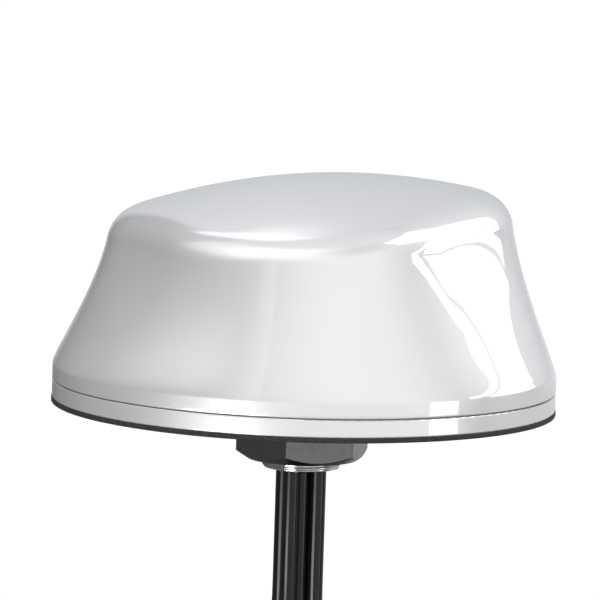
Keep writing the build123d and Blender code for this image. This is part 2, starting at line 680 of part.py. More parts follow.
def marker_sleeve():
    inner = CABLE_RADIUS + MARKER_CLEARANCE
    return ring(inner + MARKER_WALL, inner, MARKER_START, MARKER_START + MARKER_LENGTH)


def write_parts():
    nodes = {
        "radome": radome(),
        "base_housing": base_housing(),
        "mounting_gasket": mounting_gasket(),
        "radome_seal": radome_seal(),
        "radome_screws": radome_screws(),
        "ground_plane": ground_plane(),
        "ground_plane_screws": ground_plane_screws(),
        "threaded_stud": threaded_stud(),
        "stud_seal": stud_seal(),
        "stud_screws": stud_screws(),
        "cable_potting": cable_potting(),
        "lock_washer": lock_washer(),
        "hex_nut": hex_nut(),
        "gnss_board": gnss_board(),
        "gnss_standoffs": gnss_standoffs(),
        "gnss_board_screws": gnss_board_screws(),
        "gnss_lower_patch": gnss_lower_patch(),
        "gnss_upper_patch": gnss_upper_patch(),
        "gnss_electrodes": gnss_electrodes(),
        "gnss_shield_can": gnss_shield_can(),
        "gnss_chips": gnss_chips(),
        "cellular_radiators": cellular_radiators(),
        "wifi_radiators": wifi_radiators(),
        "holder_screws": holder_screws(),
        "inner_leads": inner_leads(),
    }
    kinds = (("cellular", CELLULAR_AZIMUTHS, CELLULAR_WIDTH, CELLULAR_HEIGHT),
             ("wifi", WIFI_AZIMUTHS, WIFI_WIDTH, WIFI_HEIGHT))
    for kind, azimuths, width, height in kinds:
        for number, azimuth in enumerate(azimuths, 1):
            nodes[f"{kind}_board_{number}"] = upright_board(azimuth, width, height)
            nodes[f"{kind}_holder_{number}"] = holder(azimuth, width)
    insulators, contacts = [], []
    for name in ROUTES:
        place = plug_place(name)
        nodes[f"cable_{name}"] = cable(name)
        nodes[f"plug_shell_{name}"] = place * plug_shell()
        nodes[f"coupling_nut_{name}"] = place * coupling_nut()
        nodes[f"plug_boot_{name}"] = place * plug_boot()
        nodes[f"marker_sleeve_{name}"] = place * marker_sleeve()
        insulators.append(place * plug_insulator())
        contacts.append(place * plug_contact())
    nodes["plug_insulators"] = Compound(children=insulators)
    nodes["plug_contacts"] = Compound(children=contacts)
    os.makedirs("parts", exist_ok=True)
    for name, shape in nodes.items():
        export_step(shape, f"parts/{name}.step")


write_parts()
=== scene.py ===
import json
from math import atan2, cos, pi, radians, sin, sqrt, tan

import bpy
from mathutils import Matrix, Vector


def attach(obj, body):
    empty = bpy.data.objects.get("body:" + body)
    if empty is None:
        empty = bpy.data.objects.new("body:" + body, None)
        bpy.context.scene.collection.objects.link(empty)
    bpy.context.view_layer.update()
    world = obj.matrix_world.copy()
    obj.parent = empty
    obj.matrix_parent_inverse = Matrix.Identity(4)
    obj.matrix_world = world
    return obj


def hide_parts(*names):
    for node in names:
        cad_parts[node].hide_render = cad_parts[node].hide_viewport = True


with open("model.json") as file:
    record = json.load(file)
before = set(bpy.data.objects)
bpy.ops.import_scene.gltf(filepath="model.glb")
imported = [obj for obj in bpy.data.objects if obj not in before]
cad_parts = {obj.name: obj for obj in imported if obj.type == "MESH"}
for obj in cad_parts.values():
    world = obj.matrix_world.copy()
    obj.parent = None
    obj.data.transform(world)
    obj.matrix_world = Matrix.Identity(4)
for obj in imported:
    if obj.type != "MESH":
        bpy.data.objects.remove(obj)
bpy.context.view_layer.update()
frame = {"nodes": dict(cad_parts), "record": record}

MM = 0.001           # outlines are in millimetres, and the scene is in metres
TAU = 2 * pi
ROOT = "antenna"     # the body that everything fixed rides on


# ---------------------------------------------------------------- camera, floor and light

VIEW_ELEVATION = 6.81     # degrees above the horizon
VIEW_ROLL = 1.81
VIEW_DISTANCE = 1.5906
AIM = Vector((-0.0021, 0.0040, 0.0334))
LENS, SENSOR = 300.0, 36  # millimetres
FAR_LIMIT = 200

FLOOR_HEIGHT = -0.33
FLOOR_HALF_SIZE = 80
FLOOR_GLOW = 1.05

CARD_CENTRE = Vector((0, 0, 0.04))
CARD_DISTANCE = 1.3
CARD_LAYER = 0.012        # how much nearer each layer of cards stands
CARD_COLUMNS, CARD_ROWS = 48, 32
SMALL = 1e-6


def add_camera():
    """A long lens slightly above the lip, rolled a little as in the photo."""
    elevation, roll = radians(VIEW_ELEVATION), radians(VIEW_ROLL)
    forward = Vector((0, cos(elevation), -sin(elevation)))
    up = Vector((0, sin(elevation), cos(elevation)))
    right = Vector((1, 0, 0))
    turned_right = cos(roll) * right + sin(roll) * up
    turned_up = cos(roll) * up - sin(roll) * right
    data = bpy.data.cameras.new("camera")
    data.lens, data.sensor_width, data.clip_end = LENS, SENSOR, FAR_LIMIT
    camera = bpy.data.objects.new("camera", data)
    bpy.context.scene.collection.objects.link(camera)
    turn = Matrix((turned_right, turned_up, -forward)).transposed().to_4x4()
    camera.matrix_world = Matrix.Translation(AIM - forward * VIEW_DISTANCE) @ turn
    bpy.context.scene.camera = camera


def new_object(name, verts, faces):
    """A smooth-shaded mesh object in the scene."""
    mesh = bpy.data.meshes.new(name)
    mesh.from_pydata(verts, [], faces)
    mesh.validate()
    mesh.update()
    for polygon in mesh.polygons:
        polygon.use_smooth = True
    thing = bpy.data.objects.new(name, mesh)
    bpy.context.scene.collection.objects.link(thing)
    return thing


def emission(name, colour, strength):
    """A glowing material; returns it with its tree, its emission shader and its output."""
    material = bpy.data.materials.new(name)
    material.use_nodes = True
    tree = material.node_tree
    tree.nodes.clear()
    glow = tree.nodes.new("ShaderNodeEmission")
    glow.inputs["Color"].default_value = (*colour, 1)
    glow.inputs["Strength"].default_value = strength
    out = tree.nodes.new("ShaderNodeOutputMaterial")
    tree.links.new(glow.outputs[0], out.inputs["Surface"])
    return material, tree, glow, out


def multiply(tree, value):
    """A node that multiplies a value by its second input."""
    node = tree.nodes.new("ShaderNodeMath")
    node.operation = "MULTIPLY"
    tree.links.new(value, node.inputs[0])
    return node


def add_floor():
    side = FLOOR_HALF_SIZE
    corners = [(-side, -side), (side, -side), (side, side), (-side, side)]
    floor = new_object("floor", [(x, y, FLOOR_HEIGHT) for x, y in corners], [(0, 1, 2, 3)])
    floor.data.materials.append(emission("pale_floor", (1, 1, 1), FLOOR_GLOW)[0])
    floor.visible_glossy = floor.visible_diffuse = False


def edges_at(rows, elevation):
    """The azimuths of a card's two edges at one elevation."""
    for low, high in zip(rows, rows[1:]):
        if elevation <= high[0] + SMALL:
            share = (elevation - low[0]) / (high[0] - low[0])
            return low[1] + (high[1] - low[1]) * share, low[2] + (high[2] - low[2]) * share
    return rows[-1][1:]


def card_mesh(name, rows, distance):
    """A patch of a sphere round the object, with UVs that run from 0 to 1 across and up it."""
    bottom, top = rows[0][0], rows[-1][0]
    verts, faces, uvs = [], [], []
    for i in range(CARD_COLUMNS + 1):
        for j in range(CARD_ROWS + 1):
            height = bottom + (top - bottom) * j / CARD_ROWS
            left, right = edges_at(rows, height)
            azimuth = radians(left + (right - left) * i / CARD_COLUMNS)
            elevation = radians(height)
            across, away = sin(azimuth) * cos(elevation), -cos(azimuth) * cos(elevation)
            verts.append(CARD_CENTRE + Vector((across, away, sin(elevation))) * distance)
            uvs.append((i / CARD_COLUMNS, j / CARD_ROWS))
    for i in range(CARD_COLUMNS):
        for j in range(CARD_ROWS):
            a = i * (CARD_ROWS + 1) + j
            faces.append((a, a + 1, a + CARD_ROWS + 2, a + CARD_ROWS + 1))
    card = new_object(name, verts, faces)
    unwrapped = card.data.uv_layers.new(name="UVMap")
    for loop in card.data.loops:
        unwrapped.data[loop.index].uv = uvs[loop.vertex_index]
    return card


def fade_out(tree, glow, strength, fade):
    """Dims the glow smoothly to nothing over a share of the card at each edge that has one."""
    place = tree.nodes.new("ShaderNodeUVMap")
    split = tree.nodes.new("ShaderNodeSeparateXYZ")
    tree.links.new(place.outputs[0], split.inputs[0])
    level = None
    for output, share, at_high_end in zip("XXYY", fade, (False, True, False, True)):
        if not share:
            continue
        ramp = tree.nodes.new("ShaderNodeMapRange")
        ramp.interpolation_type = "SMOOTHSTEP"
        ramp.inputs["From Min"].default_value = 1.0 if at_high_end else 0.0
        ramp.inputs["From Max"].default_value = 1.0 - share if at_high_end else share
        tree.links.new(split.outputs[output], ramp.inputs["Value"])
        if level is None:
            level = ramp.outputs[0]
        else:
            both = multiply(tree, level)
            tree.links.new(ramp.outputs[0], both.inputs[1])
            level = both.outputs[0]
    full = multiply(tree, level)
    full.inputs[1].default_value = strength
    tree.links.new(full.outputs[0], glow.inputs["Strength"])


def add_card(name, rows, strength, fade=(0, 0, 0, 0), colour=(1, 1, 1), layer=0):
    """A see-through glowing panel, so that panels add up where they overlap.

    Azimuth 0 is the camera's side, positive to its right. rows are (elevation, low azimuth, high azimuth)
    from the bottom up, in degrees. fade is the share that fades out at the low azimuth, high azimuth,
    bottom and top.
    """
    card = card_mesh(name, rows, CARD_DISTANCE - CARD_LAYER * layer)
    material, tree, glow, out = emission(name + "_glow", colour, strength)
    clear = tree.nodes.new("ShaderNodeBsdfTransparent")
    added = tree.nodes.new("ShaderNodeAddShader")
    tree.links.new(clear.outputs[0], added.inputs[0])
    tree.links.new(glow.outputs[0], added.inputs[1])
    tree.links.new(added.outputs[0], out.inputs["Surface"])
    if any(fade):
        fade_out(tree, glow, strength, fade)
    card.data.materials.append(material)
    card.visible_camera = False
    return card


def band(low, high, bottom, top):
    """The rows of a card with straight edges."""
    return (bottom, low, high), (top, low, high)


# A tall window with a slanting bar and a level one, waisted where the wall's flare would widen it
WINDOW_PANES = {
    "left": ((9, 79, 84), (14, 79, 89), (20, 91, 100), (26, 103, 111), (32, 96, 101), (43, 74, 76)),
    "right": ((11, 90, 129), (20, 103, 129), (26, 114, 127), (32, 103, 124), (43, 77, 119), (55, 72, 115)),
    "low": ((6, 93, 128), (9.8, 90, 128)),
}
WINDOW_GLOW = 3.6
PALE_SKY, COOL_WALL = (0.95, 0.97, 1.0), (0.9, 0.94, 1.0)


def add_lights():
    world = bpy.data.worlds.new("room")
    bpy.context.scene.world = world
    world.use_nodes = True
    background = world.node_tree.nodes["Background"]
    background.inputs["Color"].default_value = (0.96, 0.98, 1.0, 1)
    background.inputs["Strength"].default_value = 0.16
    add_card("zenith", band(-180, 180, 58, 89.5), 0.46, (0, 0, 0.15, 0), PALE_SKY)
    add_card("back_wall", band(125, 206, -12, 60), 0.46, (0.2, 0.15, 0.15, 0.1), COOL_WALL, layer=1)
    add_card("back_high", band(178, 222, 39, 74), 1.9, (0.4, 0.2, 0.2, 0.25), layer=10)
    add_card("left_soft", band(-117, -35, 24, 66), 1.1, (0.08, 0.3, 0.4, 0.2), layer=2)
    add_card("front_soft", band(-52, 88, -34, 50), 1.16, (0.5, 0.3, 0.3, 0.2), layer=3)
    add_card("front_strip", band(-46, -21, -34, 3), 0.9, (0.5, 0, 0, 0.2), layer=4)
    add_card("front_strip_high", band(-40, -21, 2, 40), 0.45, (0.9, 0, 0.3, 0.3), layer=5)
    add_card("front_overhead", band(-105, 45, 32, 76), 1.9, (0.4, 0.4, 0.4, 0.3), layer=6)
    for name, rows in WINDOW_PANES.items():
        pane = add_card("window_" + name, rows, WINDOW_GLOW, layer=7)
        pane.visible_diffuse = False
    add_card("right_block", band(57, 72, -16, 2), 2.8, layer=8)
    add_card("low_right", band(84, 175, -34, 2), 0.5, (0.2, 0.1, 0, 0.3), layer=9)
    add_card("low_left", band(-130, -60, -34, 2), 0.12, (0.3, 0.2, 0, 0.3), layer=9)
    # Close to the object and low, so that only the cables, nut and stud reflect it
    low_strip = add_card("low_strip", band(-52, -20, -31, -15), 12, layer=50)
    low_strip.visible_diffuse = False


# ---------------------------------------------------------------- materials

def surface(name, colour, roughness, metallic=0.0, coat=0.0, ior=1.5):
    """A principled material; returns it with its tree and shader."""
    material = bpy.data.materials.new(name)
    material.use_nodes = True
    tree = material.node_tree
    shader = tree.nodes["Principled BSDF"]
    shader.inputs["Base Color"].default_value = (*colour, 1)
    shader.inputs["Roughness"].default_value = roughness
    shader.inputs["Metallic"].default_value = metallic
    shader.inputs["IOR"].default_value = ior
    shader.inputs["Coat Weight"].default_value = coat
    shader.inputs["Coat Roughness"].default_value = 0.03
    return material, tree, shader


def place_of(tree, stretch=(1, 1, 1)):
    """The point on the object that a pattern is drawn from, in metres, or stretched along an axis."""
    coordinates = tree.nodes.new("ShaderNodeTexCoord")
    mapping = tree.nodes.new("ShaderNodeMapping")
    mapping.inputs["Scale"].default_value = stretch
    tree.links.new(coordinates.outputs["Object"], mapping.inputs["Vector"])
    return mapping.outputs[0]


def noise(tree, scale, detail=3.0, stretch=(1, 1, 1)):
    """Noise with about scale features to the metre."""
    node = tree.nodes.new("ShaderNodeTexNoise")
    node.inputs["Scale"].default_value = scale
    node.inputs["Detail"].default_value = detail
    node.inputs["Roughness"].default_value = 0.5
    tree.links.new(place_of(tree, stretch), node.inputs["Vector"])
    return node.outputs["Fac"]


NOISE_LOW, NOISE_HIGH = 0.3, 0.7              # where most of a noise's values lie
MIX_A, MIX_B, MIX_RESULT = 6, 7, 2            # a colour mix node's sockets


def vary_colour(tree, shader, value, dark, light):
    mix = tree.nodes.new("ShaderNodeMix")
    mix.data_type = "RGBA"
    mix.inputs[MIX_A].default_value = (*dark, 1)
    mix.inputs[MIX_B].default_value = (*light, 1)
    tree.links.new(value, mix.inputs["Factor"])
    tree.links.new(mix.outputs[MIX_RESULT], shader.inputs["Base Color"])


def vary_roughness(tree, shader, value, low, high):
    node = tree.nodes.new("ShaderNodeMapRange")
    limits = {"From Min": NOISE_LOW, "From Max": NOISE_HIGH, "To Min": low, "To Max": high}
    for socket, number in limits.items():
        node.inputs[socket].default_value = number
    tree.links.new(value, node.inputs["Value"])
    tree.links.new(node.outputs[0], shader.inputs["Roughness"])


def bump(tree, shader, value, depth):
    """Adds relief of this depth, in metres, on top of any that is there."""
    node = tree.nodes.new("ShaderNodeBump")
    node.inputs["Distance"].default_value = depth
    tree.links.new(value, node.inputs["Height"])
    previous = shader.inputs["Normal"].links
    if previous:
        tree.links.new(previous[0].from_socket, node.inputs["Normal"])
    tree.links.new(node.outputs[0], shader.inputs["Normal"])


def tone(colour, factor):
    return tuple(min(1.0, c * factor) for c in colour)


def moulded(name, colour, roughness, grain=900, depth=0.000004, spread=0.04, coat=0.0):
    """Plastic or rubber with a faint grain, slightly uneven in colour and gloss."""
    material, tree, shader = surface(name, colour, roughness, coat=coat)
    vary_colour(tree, shader, noise(tree, 40), tone(colour, 1 - spread), tone(colour, 1 + spread))
    vary_roughness(tree, shader, noise(tree, 120), roughness * 0.85, min(1, roughness * 1.2))
    bump(tree, shader, noise(tree, grain), depth)
    return material


def metal(name, colour, roughness, brush=(1, 1, 30), depth=0.000003):
    """Plated or brushed metal with fine marks along one direction."""
    material, tree, shader = surface(name, colour, roughness, metallic=1.0)
    vary_colour(tree, shader, noise(tree, 160), tone(colour, 0.9), tone(colour, 1.06))
    vary_roughness(tree, shader, noise(tree, 260, stretch=brush), roughness * 0.7, min(1, roughness * 1.4))
    bump(tree, shader, noise(tree, 500, stretch=brush), depth)
    return material


def white_gloss():
    """Pearl-white moulding under a clear gloss, with a slow ripple from the mould and a very fine texture."""
    colour = (0.80, 0.80, 0.81)
    material, tree, shader = surface("white_asa_gloss", colour, 0.42, metallic=0.2, coat=1.0)
    shader.inputs["Coat IOR"].default_value = 2.0
    vary_colour(tree, shader, noise(tree, 18), tone(colour, 0.99), tone(colour, 1.01))
    vary_roughness(tree, shader, noise(tree, 60, detail=5), 0.40, 0.44)
    bump(tree, shader, noise(tree, 1500, detail=1), 0.0000006)
    return material


def foam():
    """Closed-cell foam: small dark cells with paler walls."""
    colour = (0.022, 0.022, 0.023)
    material, tree, shader = surface("foam_closed_cell", colour, 0.9)
    cells = tree.nodes.new("ShaderNodeTexVoronoi")
    cells.inputs["Scale"].default_value = 1700
    tree.links.new(place_of(tree), cells.inputs["Vector"])
    vary_colour(tree, shader, cells.outputs["Distance"], (0.05, 0.05, 0.052), (0.012, 0.012, 0.013))
    bump(tree, shader, cells.outputs["Distance"], 0.00025)
    return material


def black_zinc():
    """Dark zinc plating, cloudy between a bluish and a brownish grey."""
    bluish, brownish = (0.120, 0.124, 0.128), (0.134, 0.134, 0.131)
    material, tree, shader = surface("nut_black_zinc", bluish, 0.25, metallic=1.0)
    vary_colour(tree, shader, noise(tree, 120, detail=6), bluish, brownish)
    vary_roughness(tree, shader, noise(tree, 500, detail=4), 0.22, 0.32)
    bump(tree, shader, noise(tree, 900, detail=4), 0.0000015)
    return material


def jacket():
    """Extruded cable jacket with faint streaks along its length."""
    colour = (0.012, 0.012, 0.0125)
    material, tree, shader = surface("cable_jacket_black", colour, 0.18, ior=1.32)
    streaks = noise(tree, 220, detail=4, stretch=(1, 1, 0.06))
    vary_colour(tree, shader, streaks, (0.009, 0.009, 0.0095), (0.02, 0.02, 0.021))
    vary_roughness(tree, shader, noise(tree, 300, stretch=(1, 1, 0.2)), 0.14, 0.22)
    bump(tree, shader, streaks, 0.000004)
    return material


def board(name, mask, trace):
    """Solder mask over tracks that show as slightly lighter bands."""
    material, tree, shader = surface(name, mask, 0.35, coat=0.3)
    tracks = tree.nodes.new("ShaderNodeTexBrick")
    tracks.inputs["Scale"].default_value = 160
    tracks.inputs["Mortar Size"].default_value = 0.06
    for socket, colour in (("Color1", mask), ("Color2", tone(mask, 0.92)), ("Mortar", trace)):
        tracks.inputs[socket].default_value = (*colour, 1)
    tree.links.new(place_of(tree), tracks.inputs["Vector"])
    tree.links.new(tracks.outputs["Color"], shader.inputs["Base Color"])
    bump(tree, shader, tracks.outputs["Fac"], 0.00002)
    bump(tree, shader, noise(tree, 2500), 0.000004)
    return material


def make_materials():
    """Every material slot of the record, by name."""
    return {
        "white_asa": white_gloss(),
        "foam": foam(),
        "nut_black": black_zinc(),
        "cable_jacket": jacket(),
        "seal_rubber": moulded("seal_rubber_black", (0.03, 0.03, 0.03), 0.55),
        "potting": moulded("potting_resin", (0.02, 0.02, 0.021), 0.22, grain=260, depth=0.00003),
        "heat_shrink": moulded("heat_shrink_black", (0.018, 0.018, 0.019), 0.5, grain=700, depth=0.00001),
        "chip_black": moulded("chip_epoxy", (0.03, 0.03, 0.03), 0.6, grain=3000),
        "ceramic": moulded("ceramic_fired", (0.62, 0.55, 0.42), 0.5, grain=2000, spread=0.08),
        "holder_nylon": moulded("holder_nylon_natural", (0.72, 0.70, 0.62), 0.45),
        "lead_fep": moulded("lead_fep_brown", (0.30, 0.14, 0.06), 0.25),
        "ptfe": moulded("ptfe_white", (0.85, 0.85, 0.82), 0.5),
        "marker_blue": moulded("marker_sleeve_blue", (0.03, 0.10, 0.42), 0.45),
        "marker_grey": moulded("marker_sleeve_grey", (0.35, 0.36, 0.37), 0.45),
        "marker_green": moulded("marker_sleeve_green", (0.03, 0.25, 0.09), 0.45),
        "stainless": metal("stainless_bright", (0.62, 0.61, 0.59), 0.25),
        "plane_aluminium": metal("aluminium_sheet", (0.78, 0.79, 0.80), 0.32, brush=(1, 40, 1)),
        "stud_zinc": metal("stud_bright_plating", (0.66, 0.65, 0.62), 0.16),
        "washer_steel": metal("washer_dark_steel", (0.30, 0.30, 0.29), 0.35),
        "brass_nickel": metal("nickel_plate", (0.68, 0.65, 0.58), 0.22),
        "silver": metal("silver_paste", (0.80, 0.79, 0.75), 0.45),
        "tin_can": metal("tinned_sheet", (0.66, 0.67, 0.67), 0.3),
        "copper": metal("copper_etched", (0.80, 0.42, 0.26), 0.3),
        "gold": metal("gold_plate", (0.83, 0.62, 0.28), 0.2),
        "nickel": metal("nickel_bright", (0.70, 0.67, 0.61), 0.18),
        "board_green": board("board_solder_mask", (0.015, 0.13, 0.05), (0.03, 0.20, 0.08)),
        "board_fr4": board("board_laminate", (0.35, 0.34, 0.14), (0.42, 0.40, 0.20)),
    }


def dress_nodes(materials):
    """Gives the CAD nodes that stay in view their materials."""
    slots = {part["node"]: part["material_slot"] for part in frame["record"]["subparts"]}
    for name, node in frame["nodes"].items():
        for place in node.material_slots:
            place.link = "OBJECT"
            place.material = materials[slots[name]]


def finish_piece(piece, body, slot, materials, *nodes):
    """Says which body a piece rides on, what it is made of and which CAD nodes it stands in for."""
    piece.data.materials.append(materials[slot])
    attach(piece, body)
    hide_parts(*nodes)


# ---------------------------------------------------------------- radome

# The same form as the CAD radome, in millimetres
BASE_RADIUS = 80.0
LIP_BOTTOM = 7.4
LIP_EDGE_RADIUS = 0.35
WALL = 2.6
SHOULDER_HEIGHT = 11.9
CROWN_HEIGHT = 72.5
CROWN_RADIUS = 200.0
TOP_SLOPE = 0.0875
TOP_SLOPE_AZIMUTH = radians(35.4)
TOP_INRADIUS = 56.9
TOP_CORNER_RADIUS = 47.7
TOP_CORNER_AZIMUTH = radians(-92.5)
TOP_EDGE_RADIUS = 11.2
SHOULDER_HANDLE = 0.084
FLARE_HANDLE = 0.384
FLARE_LEAN = 0.047
POSTS, POST_RADIUS, POST_CIRCLE = 6, 4.5, 68.0
POST_BOTTOM, POST_TOP = 4.6, 34.0
POST_AZIMUTH = radians(57.5)

COLUMNS, LIP_STEPS, WALL_STEPS, EDGE_STEPS, CROWN_STEPS = 360, 4, 44, 18, 26
POST_SEGMENTS = 32
WALL_CROWDING = 1.15     # above 1, the wall's rows crowd towards the shoulder
SLOPE_STEP = 4.0         # the top's slope at the rim is taken over this distance
HALVINGS = 30


def rounded_polygon_radius(angle, sides, inradius, corner_radius, corner_azimuth):
    """How far out a regular polygon with rounded corners reaches at an angle."""
    half = pi / sides
    off = abs((angle - corner_azimuth) % (2 * half) - half)
    centre_x = inradius - corner_radius
    centre_y = centre_x * tan(half)
    if inradius * tan(off) <= centre_y:
        return inradius / cos(off)
    along = centre_x * cos(off) + centre_y * sin(off)
    return along + sqrt(max(0.0, along**2 - centre_x**2 - centre_y**2 + corner_radius**2))


def top_height(radius, azimuth):
    """The crowned and sloping top's height."""
    dome = CROWN_HEIGHT - radius**2 / (2 * CROWN_RADIUS)
    return dome + TOP_SLOPE * radius * cos(azimuth - TOP_SLOPE_AZIMUTH)


def bezier(p, t):
    s = 1 - t
    return s**3 * p[0] + 3 * s * s * t * p[1] + 3 * s * t * t * p[2] + t**3 * p[3]


def lip_points():
    """The lip's rounded edge and upright side."""
    points = []
    for i in range(LIP_STEPS + 1):
        turn = pi / 2 * i / LIP_STEPS
        radius = BASE_RADIUS - LIP_EDGE_RADIUS * (1 - sin(turn))
        points.append((radius, LIP_BOTTOM + LIP_EDGE_RADIUS * (1 - cos(turn))))
    for share in (0.3, 0.6, 0.9):
        points.append((BASE_RADIUS, LIP_BOTTOM + share * (SHOULDER_HEIGHT - LIP_BOTTOM)))
    return points


def wall_end(radii, heights, corner, reach):
    """Where along the wall's curve, from 0 to 1, it comes within reach of the rim's corner."""
    def is_outside(t):
        return (Vector((bezier(radii, t), bezier(heights, t))) - corner).length > reach

    last = max(i for i in range(WALL_STEPS) if is_outside(i / WALL_STEPS))
    low, high = last / WALL_STEPS, (last + 1) / WALL_STEPS
    for _ in range(HALVINGS):
        middle = (low + high) / 2
        if is_outside(middle):
            low = middle
        else:
            high = middle
    return low


def edge_points(start, corner, stop, turn):
    """The rounded edge that leads from the wall to the top."""
    weight = cos(turn / 2)
    points = []
    for i in range(1, EDGE_STEPS + 1):
        t = i / EDGE_STEPS
        parts = ((1 - t) ** 2, 2 * t * (1 - t) * weight, t * t)
        points.append(tuple((start * parts[0] + corner * parts[1] + stop * parts[2]) / sum(parts)))
    return points


def crown_points(rounded_end, azimuth):
    """The top from its rounded edge to near the centre, easing onto the crown."""
    end_radius, end_height = rounded_end
    gap = end_height - top_height(end_radius, azimuth)
    points = []
    for i in range(1, CROWN_STEPS):
        radius = end_radius * (1 - i / CROWN_STEPS)
        points.append((radius, top_height(radius, azimuth) + gap * (radius / end_radius) ** 4))
    return points


def radome_profile(azimuth):
    """Points (radius, height) from the lip's lower edge, up the wall and over the rim."""
    rim = rounded_polygon_radius(azimuth, 3, TOP_INRADIUS, TOP_CORNER_RADIUS, TOP_CORNER_AZIMUTH)
    rim_height = top_height(rim, azimuth)
    rise = rim_height - SHOULDER_HEIGHT
    handle = FLARE_HANDLE * rise
    radii = (BASE_RADIUS, BASE_RADIUS, rim + FLARE_LEAN * handle, rim)
    heights = (SHOULDER_HEIGHT, SHOULDER_HEIGHT + SHOULDER_HANDLE * rise, rim_height - handle, rim_height)
    corner = Vector((rim, rim_height))
    down = Vector((radii[2] - rim, heights[2] - rim_height)).normalized()
    inner = rim - SLOPE_STEP
    inward = (Vector((inner, top_height(inner, azimuth))) - corner).normalized()
    turn = pi - down.angle(inward)
    reach = TOP_EDGE_RADIUS * tan(turn / 2)
    points = lip_points()
    end = wall_end(radii, heights, corner, reach)
    for i in range(WALL_STEPS + 1):
        t = end * (i / WALL_STEPS) ** WALL_CROWDING
        points.append((bezier(radii, t), bezier(heights, t)))
    points += edge_points(Vector(points[-1]), corner, corner + inward * reach, turn)
    return points + crown_points(points[-1], azimuth)


def add_screw_posts(verts, faces):
    """Tubes that hang inside the wall and take the radome's screws."""
    for k in range(POSTS):
        azimuth = POST_AZIMUTH + TAU * k / POSTS
        first = len(verts)
        for i in range(POST_SEGMENTS):
            angle = TAU * i / POST_SEGMENTS
            x = POST_CIRCLE * cos(azimuth) + POST_RADIUS * cos(angle)
            y = POST_CIRCLE * sin(azimuth) + POST_RADIUS * sin(angle)
            wall_radius = sqrt(x**2 + y**2) + WALL / 2
            profile = radome_profile(atan2(y, x))
            wall_height = min(z for r, z in profile if z > SHOULDER_HEIGHT and r < wall_radius)
            top = min(wall_height, POST_TOP)
            verts += [(x * MM, y * MM, POST_BOTTOM * MM), (x * MM, y * MM, top * MM)]
        for i in range(POST_SEGMENTS):
            a, b = first + 2 * i, first + 2 * ((i + 1) % POST_SEGMENTS)
            faces.append((a, b, b + 1, a + 1))


def make_radome(materials):
    profiles = [radome_profile(TAU * i / COLUMNS) for i in range(COLUMNS)]
    count = len(profiles[0])
    verts, faces = [], []
    for i, profile in enumerate(profiles):
        azimuth = TAU * i / COLUMNS
        verts += [(r * cos(azimuth) * MM, r * sin(azimuth) * MM, z * MM) for r, z in profile]
    centre = len(verts)
    verts.append((0, 0, CROWN_HEIGHT * MM))
    for i in range(COLUMNS):
        here, following = i * count, (i + 1) % COLUMNS * count
        for j in range(count - 1):
            faces.append((here + j, following + j, following + j + 1, here + j + 1))
        faces.append((here + count - 1, following + count - 1, centre))
    add_screw_posts(verts, faces)
    radome = new_object("radome_shell", verts, faces)
    thick = radome.modifiers.new("wall", "SOLIDIFY")
    thick.thickness, thick.offset = WALL * MM, -1
    finish_piece(radome, ROOT, "white_asa", materials, "radome")


# ---------------------------------------------------------------- turned pieces

def lathe(name, profile, segments, form=None):
    """A ring-shaped solid from a closed profile of (radius, height) points in millimetres.

    form, if given, turns a profile point and an angle into the radius and height at that angle.
    """
    count = len(profile)
    verts, faces = [], []
    for i in range(segments):
        angle = TAU * i / segments
        for r, z in profile:
            if form:
                r, z = form(r, z, angle)
            verts.append((r * cos(angle) * MM, r * sin(angle) * MM, z * MM))
    for i in range(segments):
        here, following = i * count, (i + 1) % segments * count
        for j in range(count):
            k = (j + 1) % count
            faces.append((here + j, following + j, following + k, here + k))
    return new_object(name, verts, faces)


def sharpen(piece, degrees):
    """Edges sharper than this angle shade as edges."""
    piece.data.set_sharp_from_angle(angle=radians(degrees))


def rounded(corners, radius, steps=4):
    """The closed outline again with each corner rounded."""
    outline = []
    for i, corner in enumerate(corners):
        here = Vector(corner)
        before = Vector(corners[i - 1]) - here
        after = Vector(corners[(i + 1) % len(corners)]) - here
        reach = min(radius, before.length * 0.45, after.length * 0.45)
        start, stop = here + before.normalized() * reach, here + after.normalized() * reach
        for k in range(steps + 1):
            t = k / steps
            outline.append(tuple(start * (1 - t) ** 2 + here * 2 * t * (1 - t) + stop * t * t))
    return outline


GASKET_RADIUS, GASKET_HOLE_RADIUS, GASKET_THICKNESS, GASKET_EDGE_RADIUS = 80.2, 23.5, 1.6, 0.35
GASKET_SEGMENTS = 300


def make_gasket(materials):
    inside, outside, top = GASKET_HOLE_RADIUS, GASKET_RADIUS, GASKET_THICKNESS
    corners = [(inside, 0), (outside, 0), (outside, top), (inside, top)]
    gasket = lathe("gasket_foam", rounded(corners, GASKET_EDGE_RADIUS), GASKET_SEGMENTS)
    finish_piece(gasket, ROOT, "foam", materials, "mounting_gasket")


# ---------------------------------------------------------------- stud and nut

INCH = 25.4
THREAD_RADIUS, THREAD_PITCH, THREAD_DEPTH = INCH / 2, INCH / 18, 0.8
THREAD_ROOT, THREAD_FLANK = 0.16, 0.66    # shares of half a turn
RUN_OUT, RUN_OUT_DEPTH = 1.0, 0.25        # at the stud's end the thread is shallower
PLAIN_LENGTH = 3.2                        # under the flange, without a thread
ROWS_PER_TURN, STUD_SEGMENTS = 20, 120
STUD_END, STUD_BORE_RADIUS = -19.5, 9.0
FLOOR_TOP, FLANGE_TOP, FLANGE_RADIUS, FLANGE_CHAMFER = 4.6, 8.1, 21.0, 0.3


